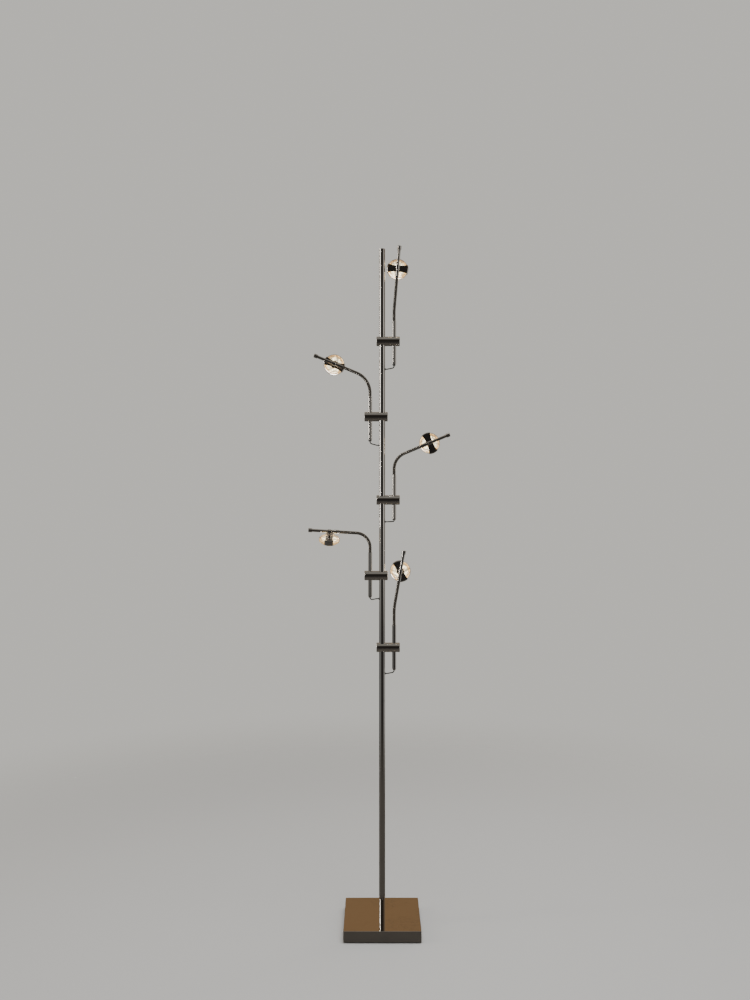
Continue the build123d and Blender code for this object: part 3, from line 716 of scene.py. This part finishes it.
for name, piece in nodes.items():
    kind, _, number = name.rpartition("_")
    if kind == "lens":
        dress(piece, lit_glass(number))
    elif kind == "led_holder":
        dress(piece, light_holder(number))
    else:
        dress(piece, FINISHES.get(name) or FINISHES[kind])
print("dressed:", len(nodes), "CAD pieces")

# %% [markdown]
# ## The goosenecks
# A gooseneck is a spring of round wire wound so tightly that its turns touch. An array of rings
# would look nearly the same, but real winding climbs as it goes round. So one short half-round
# outline is spun many times while it climbs, which gives the true spiral; then the straight hose
# is bent round the same arc as its CAD solid, with the middle of the bend at its joint.

# %% Where a gooseneck runs
HOSE_RADIUS = 0.00415
BALL_FROM_ROD = 0.012
COLLAR_FROM_ROD_START = 0.025
BEND_RADIUS = {"1": 0.150, "2": 0.058, "3": 0.045, "4": 0.038, "5": 0.150}
HIDDEN_END = 0.009


def hose_line(number):
    """The hose's lower end, its corner, its direction after the bend, and its upper end."""
    corner = Vector(joints[f"flex_{number}"]["pos_m"])
    spin = joints[f"spin_{number}"]
    collar = Vector(spin["pos_m"]) - Vector(spin["axis"]) * BALL_FROM_ROD
    along = (collar - corner).normalized()
    low = Vector((corner.x, 0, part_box(f"stem_{number}")[1].z))
    return low, corner, along, collar - along * COLLAR_FROM_ROD_START


for number in ARM_NUMBERS:
    low, corner, along, high = hose_line(number)
    print("gooseneck", number, "turns", round(atan2(abs(along.x), along.z) * 180 / pi, 1), "deg")

# %% [markdown]
# ### Wind the wire
# The outline spans exactly one turn's climb, so the top of each turn meets the bottom of the
# next, and merging by distance joins them. Cutting both ends flat and filling them closes the
# hose.

# %% Wind the wire
WIRE_PITCH = 0.0016
GROOVE_DEPTH = 0.0004
OUTLINE_STEPS = 4
TURN_STEPS = 20
EXTRA_TURNS = 3
TURNS_BELOW_CUT = 1.5
WELD = 0.00001


def wound_hose(length):
    """A straight hose of touching wire turns, from z = 0 to its length."""
    hose = bmesh.new()
    outline = [hose.verts.new((HOSE_RADIUS - GROOVE_DEPTH * (1 - sin(pi * step / OUTLINE_STEPS)),
                               0, WIRE_PITCH * step / OUTLINE_STEPS))
               for step in range(OUTLINE_STEPS + 1)]
    edges = [hose.edges.new(pair) for pair in zip(outline, outline[1:])]
    turns = int(length / WIRE_PITCH) + EXTRA_TURNS
    bmesh.ops.translate(hose, verts=outline, vec=(0, 0, -TURNS_BELOW_CUT * WIRE_PITCH))
    bmesh.ops.spin(hose, geom=outline + edges, cent=(0, 0, 0), axis=(0, 0, 1),
                   dvec=(0, 0, WIRE_PITCH / TURN_STEPS), angle=2 * pi * turns,
                   steps=turns * TURN_STEPS)
    bmesh.ops.remove_doubles(hose, verts=hose.verts, dist=WELD)
    for height, up in ((0, -1), (length, 1)):
        bmesh.ops.bisect_plane(hose, geom=hose.verts[:] + hose.edges[:] + hose.faces[:],
                               plane_co=(0, 0, height), plane_no=(0, 0, up), clear_outer=True)
    rims = [edge for edge in hose.edges if edge.is_boundary]
    bmesh.ops.holes_fill(hose, edges=rims)
    bmesh.ops.recalc_face_normals(hose, faces=hose.faces)
    return hose


trial = wound_hose(0.02)
print("20 mm of hose:", len(trial.faces), "faces, open edges",
      sum(edge.is_boundary for edge in trial.edges))
trial.free()

# %% [markdown]
# ### Bend the hose
# A Curve modifier could bend it, but it needs a second object and is lost on export. One arc is
# simple enough to bend by hand: what lies above the arc's start turns about the arc's centre.
# The hose then runs up the stem below the corner and along the rod above it, with the arc
# between them that has the corner in its middle, so that the bend is spread along the hose.


# %% Bend and fit the hoses
SHARP_FROM = 38


def finish_piece(name, shape, *finishes):
    """Makes an object of a finished bmesh, shaded smooth except across sharp edges."""
    for face in shape.faces:
        face.smooth = True
    for edge in shape.edges:
        edge.smooth = edge.calc_face_angle(0) < radians(SHARP_FROM)
    piece = bpy.data.objects.new(name, bpy.data.meshes.new(name))
    shape.to_mesh(piece.data)
    shape.free()
    bpy.context.scene.collection.objects.link(piece)
    dress(piece, *finishes)
    return piece


def bend(shape, start, radius, angle, side):
    """Bends an upright bmesh sideways round one arc that starts at a height."""
    centre = Vector((radius * side, 0, start))
    for vertex in shape.verts:
        turned = min(max((vertex.co.z - start) / radius, 0), angle)
        beyond = vertex.co.z - start - turned * radius
        arm = Vector((vertex.co.x, vertex.co.y, start + beyond)) - centre
        vertex.co = centre + Matrix.Rotation(turned * side, 3, "Y") @ arm


for number in ARM_NUMBERS:
    low, corner, along, high = hose_line(number)
    angle = atan2(abs(along.x), along.z)
    cut = BEND_RADIUS[number] * tan(angle / 2)
    start = corner.z - cut - low.z + HIDDEN_END
    length = start + BEND_RADIUS[number] * angle + (high - corner).length - cut + HIDDEN_END
    hose = wound_hose(length)
    bend(hose, start, BEND_RADIUS[number], angle, 1 if along.x > 0 else -1)
    bmesh.ops.translate(hose, verts=hose.verts, vec=low - Vector((0, 0, HIDDEN_END)))
    piece = finish_piece(f"wound_gooseneck_{number}", hose, nickel_wire_painted_shade)
    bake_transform(piece)
    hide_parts(f"gooseneck_{number}")
    print(piece.name, "length", round(length * 1000, 1), "mm,", len(piece.data.polygons), "faces")

# %% [markdown]
# ## The boards
# Round each light source lies a thin white board, notched for its two screws, with two beads of
# solder. It shows through the lens from the back of the lamp. Its lacquer and its solder need
# only a little unevenness, so one plain finish with other numbers serves for both.


# %% Board finishes
TINT_BAND = (0.3, 0.7)


def plain_finish(name, colour, second, metallic, roughness, grain):
    """A finish whose colour and roughness vary a little with the grain."""
    material, tree, shader = start_material(name)
    skin = add_node(tree, "Group", {"Grain": grain, "Roughening": 0.4}, node_tree=grained_skin)
    fill(tree, shader, {
        "Base Color": mix(tree, spread(tree, skin.outputs["Tone"], *TINT_BAND), colour, second),
        "Metallic": metallic,
        "Roughness": spread(tree, skin.outputs["Tone"], *TONE_BAND, roughness, roughness + 0.15),
        "Normal": add_node(tree, "Bump", {
            "Height": skin.outputs["Height"], "Strength": 0.3, "Distance": 0.00003,
        }).outputs["Normal"],
    })
    return material


board_white = plain_finish("board_white", (0.80, 0.80, 0.77, 1), (0.70, 0.69, 0.64, 1),
                           metallic=0.0, roughness=0.4, grain=0.0006)
solder = plain_finish("solder", (0.62, 0.62, 0.63, 1), (0.48, 0.48, 0.49, 1),
                      metallic=1.0, roughness=0.25, grain=0.0008)
print("board finishes:", board_white.name, solder.name)

# %% [markdown]
# ### Shape and place the boards
# The notches could be cut with booleans. Here the disc gets them when some of its corners are
# pulled in, which is simpler and keeps it to a few faces. The board is made flat, then moved onto
# its head, and it rides on that head's body.

# %% Boards
BOARD_RADIUS = 0.0092
BOARD_THICKNESS = 0.0003
BOARD_CORNERS = 36
NOTCH_EVERY = 6
NOTCH_SCALE = 0.86
SOLDER_FROM_AXIS = 0.0056
SOLDER_PAD = {"width": 0.0022, "top": 0.0012, "height": 0.0005, "finish": 1, "segments": 12}
SCREW_FROM_AXIS = 0.0074
SCREW_HEAD = {"width": 0.0034, "top": 0.0028, "height": 0.0010, "finish": 2, "segments": 18}
SOCKET_FROM_RIM = 0.0007
SOCKET_DEPTH = 0.0006
FACES_UP = 0.9


def low_cone(shape, place, width, top, height, finish, segments):
    """A small round pad with sloping sides, standing on the board."""
    at = Matrix.Translation(Vector(place) + Vector((0, 0, height / 2)))
    made = bmesh.ops.create_cone(shape, cap_ends=True, segments=segments, radius1=width / 2,
                                 radius2=top / 2, depth=height, matrix=at)
    faces = {face for vertex in made["verts"] for face in vertex.link_faces}
    for face in faces:
        face.material_index = finish
    return faces


def light_board(number):
    """Notched board with two solder beads and two socket screws."""
    board = bmesh.new()
    disc = bmesh.ops.create_circle(board, cap_ends=True, radius=BOARD_RADIUS,
                                   segments=BOARD_CORNERS)
    for vertex in disc["verts"][::NOTCH_EVERY]:
        vertex.co *= NOTCH_SCALE
    raised = bmesh.ops.extrude_face_region(board, geom=board.faces[:])["geom"]
    bmesh.ops.translate(board, vec=(0, 0, BOARD_THICKNESS),
                        verts=[item for item in raised if isinstance(item, bmesh.types.BMVert)])
    for side in (-1, 1):
        low_cone(board, (0, side * SOLDER_FROM_AXIS, BOARD_THICKNESS), **SOLDER_PAD)
        head = low_cone(board, (side * SCREW_FROM_AXIS, 0, BOARD_THICKNESS), **SCREW_HEAD)
        top = [face for face in head if face.normal.z > FACES_UP]
        bmesh.ops.inset_region(board, faces=top, thickness=SOCKET_FROM_RIM)
        sunk = bmesh.ops.extrude_face_region(board, geom=top)["geom"]
        bmesh.ops.delete(board, geom=top, context="FACES_ONLY")
        bmesh.ops.translate(board, vec=(0, 0, -SOCKET_DEPTH),
                            verts=[item for item in sunk if isinstance(item, bmesh.types.BMVert)])
    bmesh.ops.recalc_face_normals(board, faces=board.faces)
    lift = Matrix.Translation((0, 0, HOLDER_FACE))
    bmesh.ops.transform(board, matrix=head_matrix(number) @ lift, verts=board.verts)
    piece = finish_piece(f"light_board_{number}", board, board_white, solder, screw_zinc)
    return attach(piece, f"head_{number}")


boards = [light_board(number) for number in ARM_NUMBERS]
print("boards:", len(boards), "with", len(boards[0].data.polygons), "faces each")

# %% [markdown]
# ## The size
# The box round every piece that renders, the floor left out, is printed.

# %% Size
low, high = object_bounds()
print("box:", [round(v, 4) for v in (*low, *high)])
